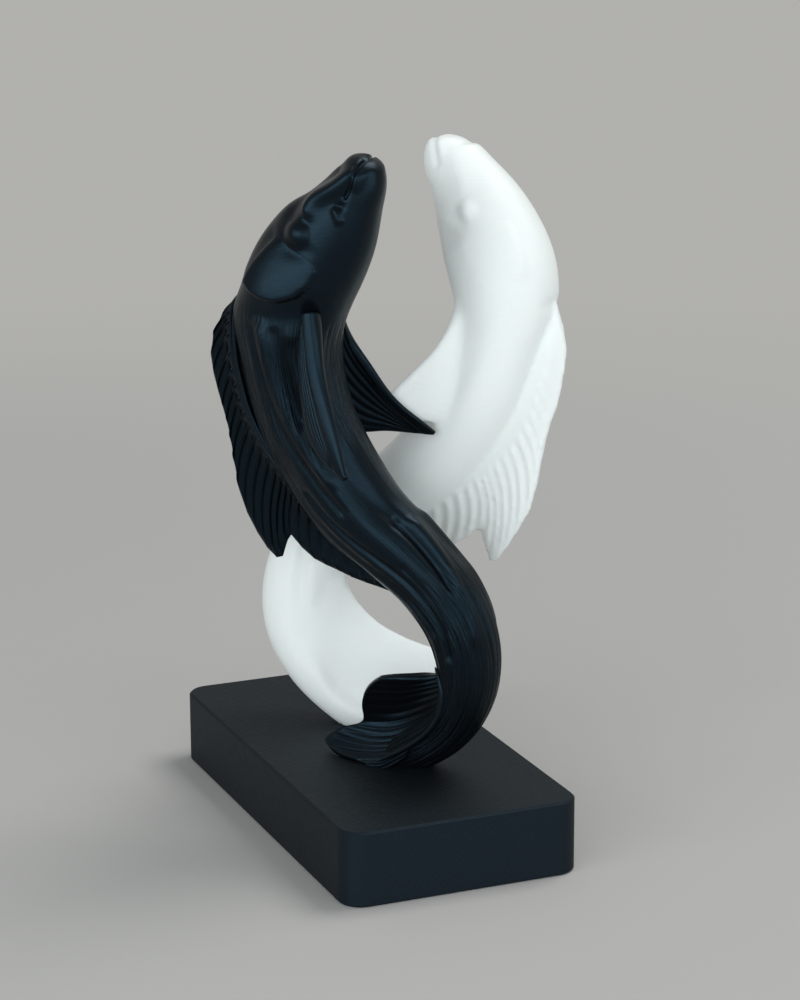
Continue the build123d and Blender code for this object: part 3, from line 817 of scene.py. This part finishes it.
black = koi(
    "black_koi", BLACK_HEAD_SHARES + TRUNK_SHARES + BLACK_LOOP_SHARES, BLACK_DORSAL_RAYS,
    black_pectorals, BLACK_TAIL_RAYS, RIGHT_FACE, BLACK_LOOK, BLACK_STANCE,
)
white = koi(
    "white_koi", WHITE_HEAD_SHARES + TRUNK_SHARES + WHITE_LOOP_SHARES, WHITE_DORSAL_RAYS,
    white_pectorals, WHITE_TAIL_RAYS, LEFT_FACE, WHITE_LOOK, WHITE_STANCE,
)

# Materials: sizes in metres
LAYER_HEIGHT = 0.00025
RASTER_PITCH = 0.0008
LINE_DEPTH = 0.0001
LINE_SHARE = 0.5
LEVEL_LIMIT = 0.9
MOTTLE_SCALE = 900.0
MOTTLE_DETAIL = 3.0
ROUGHNESS_SWING = 0.06
FIBRE_STRETCH = (0.05, 1.5, 0.0)
FIBRE_DETAIL = 3.0
FIBRE_DEPTH = 0.0012
SCATTER_SHARES = (1.0, 0.85, 0.6)
SCATTER_DEPTH = 0.004
# Specular tint of the black plastics: a painted blue reflection that stands in for the bluish surroundings
# seen in dark plastic, not a colour the plastic has
PAINTED_BLUE_REFLECTION = (0.36, 0.71, 1.0)
NEUTRAL = (1.0, 1.0, 1.0)
BLACK = (0.0018, 0.0022, 0.0029)
WHITE = (0.75, 0.79, 0.775)
PLINTH_BLACK = (0.0030, 0.0027, 0.0028)


def node(tree, kind, inputs=None, **settings):
    """A shader node with its inputs linked to sockets or set to values."""
    made = tree.nodes.new(kind)
    for key, value in settings.items():
        setattr(made, key, value)
    for key, value in (inputs or {}).items():
        if isinstance(value, bpy.types.NodeSocket):
            tree.links.new(value, made.inputs[key])
        else:
            made.inputs[key].default_value = value
    return made


def math_node(tree, operation, *values):
    """The result of an operation on sockets or values."""
    return node(tree, "ShaderNodeMath", dict(enumerate(values)), operation=operation).outputs[0]


def stripes(tree, place_along, pitch):
    """Waves across a direction."""
    return math_node(tree, "SINE", math_node(tree, "MULTIPLY", place_along, 2.0 * math.pi / pitch))


def noise(tree, vector, scale, detail):
    """Noise read at a vector."""
    made = node(tree, "ShaderNodeTexNoise", {"Vector": vector, "Scale": scale, "Detail": detail})
    return made.outputs["Fac"]


def parts(tree, vector):
    """The three parts of a vector."""
    return node(tree, "ShaderNodeSeparateXYZ", {"Vector": vector}).outputs


def plastic(
    name, colour, roughness, specular, tint, line_bump, fibre_bump=0.0, subsurface=0.0, raster_pitch=None
):
    """Satin printed plastic with layer lines, and with raster lines on level tops or fibres if asked."""
    material = bpy.data.materials.new(name)
    material.use_nodes = True
    tree = material.node_tree
    shader = tree.nodes["Principled BSDF"]
    shader.inputs["Base Color"].default_value = (*colour, 1.0)
    shader.inputs["Specular IOR Level"].default_value = specular
    # The specular tint colours every reflection; a blue tint here is painted blue reflection
    shader.inputs["Specular Tint"].default_value = (*tint, 1.0)
    shader.inputs["Subsurface Weight"].default_value = subsurface
    shader.inputs["Subsurface Radius"].default_value = SCATTER_SHARES
    shader.inputs["Subsurface Scale"].default_value = SCATTER_DEPTH
    place_here = node(tree, "ShaderNodeTexCoord").outputs["Object"]
    spot = parts(tree, place_here)
    mottle = noise(tree, place_here, MOTTLE_SCALE, MOTTLE_DETAIL)
    lines = stripes(tree, spot["Z"], LAYER_HEIGHT)
    if raster_pitch:
        facing = parts(tree, node(tree, "ShaderNodeNewGeometry").outputs["Normal"])
        level = math_node(tree, "GREATER_THAN", facing["Z"], LEVEL_LIMIT)
        slant = math_node(tree, "ADD", spot["X"], spot["Y"])
        raster = stripes(tree, slant, raster_pitch * math.sqrt(2.0))
        lines = node(tree, "ShaderNodeMix", {"Factor": level, "A": lines, "B": raster}).outputs["Result"]
    both = math_node(tree, "MULTIPLY_ADD", lines, LINE_SHARE, mottle)
    bump = node(tree, "ShaderNodeBump", {"Strength": line_bump, "Distance": LINE_DEPTH, "Height": both})
    normal = bump.outputs["Normal"]
    if fibre_bump:
        skin = node(tree, "ShaderNodeAttribute", attribute_name="skin").outputs["Vector"]
        stretch = node(tree, "ShaderNodeVectorMath", {0: skin, 1: FIBRE_STRETCH}, operation="MULTIPLY")
        fibre = noise(tree, stretch.outputs["Vector"], 1.0, FIBRE_DETAIL)
        height = math_node(tree, "MULTIPLY", fibre, parts(tree, skin)["Z"])
        depth = {"Strength": fibre_bump, "Distance": FIBRE_DEPTH}
        bump = node(tree, "ShaderNodeBump", {**depth, "Height": height, "Normal": normal})
        normal = bump.outputs["Normal"]
    tree.links.new(normal, shader.inputs["Normal"])
    swing = {"To Min": roughness - ROUGHNESS_SWING, "To Max": roughness + ROUGHNESS_SWING}
    rough = node(tree, "ShaderNodeMapRange", {"Value": mottle, **swing})
    tree.links.new(rough.outputs["Result"], shader.inputs["Roughness"])
    return material


# The black koi and the plinth get a painted blue reflection through their specular tint
black_plastic = plastic(
    "black_plastic", BLACK, roughness=0.33, specular=0.24, tint=PAINTED_BLUE_REFLECTION, line_bump=0.12, fibre_bump=0.7
)
white_plastic = plastic(
    "white_plastic", WHITE, roughness=0.45, specular=0.4, tint=NEUTRAL, line_bump=0.3, subsurface=0.25
)
plinth_plastic = plastic(
    "plinth_plastic", PLINTH_BLACK, roughness=0.6, specular=0.3, tint=PAINTED_BLUE_REFLECTION, line_bump=0.3,
    raster_pitch=RASTER_PITCH,
)

for pieces, cad_node, slot_name, material in (
    (black, "black_koi", "black_plastic", black_plastic),
    (white, "white_koi", "white_plastic", white_plastic),
):
    for piece in pieces:
        piece.data.materials.append(material)
        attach(piece, "root")
        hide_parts(cad_node)

for cad_node, slot_name, material in (
    ("plinth", "plinth_plastic", plinth_plastic),
    ("black_koi_dowels", "black_plastic", black_plastic),
    ("white_koi_dowels", "white_plastic", white_plastic),
):
    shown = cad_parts[cad_node]
    shown.data.materials.clear()
    shown.data.materials.append(material)

# Floor and world: the backdrop's pale colour is seen directly and in reflections
FLOOR_SIZE = 6.0
FLOOR_COLOUR = (0.43, 0.427, 0.414, 1.0)
FLOOR_ROUGHNESS = 0.9
FLOOR_SPECULAR = 0.1
GLOW_START = 0.2
GLOW_END = 0.6
PALE = (0.44, 0.437, 0.42, 1.0)
SKY_COLOUR = (0.96, 0.98, 1.0, 1.0)
SKY_STRENGTH = 0.42
bpy.ops.mesh.primitive_plane_add(size=FLOOR_SIZE, location=(0.0, 0.0, 0.0))
floor = bpy.context.object
floor.name = "floor"
floor_material = bpy.data.materials.new("floor")
floor_material.use_nodes = True
ground = floor_material.node_tree
floor_shader = ground.nodes["Principled BSDF"]
floor_shader.inputs["Base Color"].default_value = FLOOR_COLOUR
floor_shader.inputs["Roughness"].default_value = FLOOR_ROUGHNESS
floor_shader.inputs["Specular IOR Level"].default_value = FLOOR_SPECULAR
floor.data.materials.append(floor_material)


def seen_or_reflected(tree):
    """One for rays from the camera and from mirrors or glass, and nothing for diffuse ones."""
    rays = node(tree, "ShaderNodeLightPath").outputs
    seen = math_node(tree, "MAXIMUM", rays["Is Camera Ray"], rays["Is Glossy Ray"])
    return math_node(tree, "MAXIMUM", seen, rays["Is Transmission Ray"])


floor_spot = node(ground, "ShaderNodeNewGeometry").outputs["Position"]
away = node(ground, "ShaderNodeVectorMath", {0: floor_spot}, operation="LENGTH").outputs["Value"]
glow_range = {"Value": away, "From Min": GLOW_START, "From Max": GLOW_END}
far = node(ground, "ShaderNodeMapRange", glow_range, interpolation_type="SMOOTHSTEP").outputs["Result"]
far_seen = math_node(ground, "MULTIPLY", far, seen_or_reflected(ground))
glow = node(ground, "ShaderNodeEmission", {"Color": PALE, "Strength": 1.0})
blend = node(ground, "ShaderNodeMixShader", {0: far_seen, 1: floor_shader.outputs[0], 2: glow.outputs[0]})
ground.links.new(blend.outputs[0], ground.nodes["Material Output"].inputs["Surface"])

world = bpy.data.worlds.new("studio")
bpy.context.scene.world = world
world.use_nodes = True
sky = world.node_tree
sky.nodes["Background"].inputs["Color"].default_value = SKY_COLOUR
sky.nodes["Background"].inputs["Strength"].default_value = SKY_STRENGTH
backdrop = node(sky, "ShaderNodeBackground", {"Color": PALE, "Strength": 1.0})
mix = node(
    sky, "ShaderNodeMixShader",
    {0: seen_or_reflected(sky), 1: sky.nodes["Background"].outputs[0], 2: backdrop.outputs[0]},
)
sky.links.new(mix.outputs[0], sky.nodes["World Output"].inputs["Surface"])

# Lamps: place in metres, size, power and colour
LAMP_AIM = Vector((0.0, 0.0, 0.08))
COOL_LIGHT = (0.92, 0.97, 1.0)
WARM_LIGHT = (1.0, 0.99, 0.97)
LAMPS = {
    "key": ((-0.835, -0.637, 0.32), (1.3, 0.5), 9.0, COOL_LIGHT),
    "side": ((0.55, 0.05, 1.1), (0.6, 0.6), 7.0, WARM_LIGHT),
    "low": ((0.25, -0.9, 0.18), (1.0, 0.25), 3.7, COOL_LIGHT),
}


def area_light(name, place_at, size, power, colour):
    """An oblong lamp that faces the object."""
    lamp = bpy.data.lights.new(name, "AREA")
    lamp.shape = "RECTANGLE"
    lamp.size, lamp.size_y = size
    lamp.energy = power
    lamp.color = colour
    made = bpy.data.objects.new(name, lamp)
    bpy.context.scene.collection.objects.link(made)
    made.location = place_at
    made.rotation_mode = "QUATERNION"
    made.rotation_quaternion = (Vector(place_at) - LAMP_AIM).to_track_quat("Z", "Y")


for lamp_name, lamp_values in LAMPS.items():
    area_light(lamp_name, *lamp_values)

# Camera: looks down at the plinth from the front left. Angles in degrees, lengths in millimetres
CAMERA_AZIMUTH = -22.638
CAMERA_ELEVATION = 14.945
CAMERA_ROLL = -0.223
CAMERA_DISTANCE = 642.23
CAMERA_SHIFT = (5.895, 67.351)
FOCAL_PIXELS = 2957.37
LONG_SIDE_PIXELS = 1000.0
SENSOR = 36.0
NEAR_CLIP = 0.01
azimuth = math.radians(CAMERA_AZIMUTH)
elevation = math.radians(CAMERA_ELEVATION)
roll = math.radians(CAMERA_ROLL)
level = np.array([math.cos(azimuth), math.sin(azimuth), 0.0])
ahead = np.array([-math.sin(azimuth), math.cos(azimuth), 0.0])
back = -math.cos(elevation) * ahead + math.sin(elevation) * np.array([0.0, 0.0, 1.0])
rise = np.cross(back, level)
right = math.cos(roll) * level + math.sin(roll) * rise
up = math.cos(roll) * rise - math.sin(roll) * level
spot = (CAMERA_SHIFT[0] * right + CAMERA_SHIFT[1] * up + CAMERA_DISTANCE * back) * MM
lens = bpy.data.cameras.new("camera")
lens.sensor_width = SENSOR
lens.lens = SENSOR * FOCAL_PIXELS / LONG_SIDE_PIXELS
lens.clip_start = NEAR_CLIP
camera = bpy.data.objects.new("camera", lens)
bpy.context.scene.collection.objects.link(camera)
camera.matrix_world = Matrix([[right[i], up[i], back[i], spot[i]] for i in range(3)] + [[0, 0, 0, 1]])
bpy.context.scene.camera = camera
bpy.context.scene.view_settings.view_transform = "Standard"

bpy.context.view_layer.update()
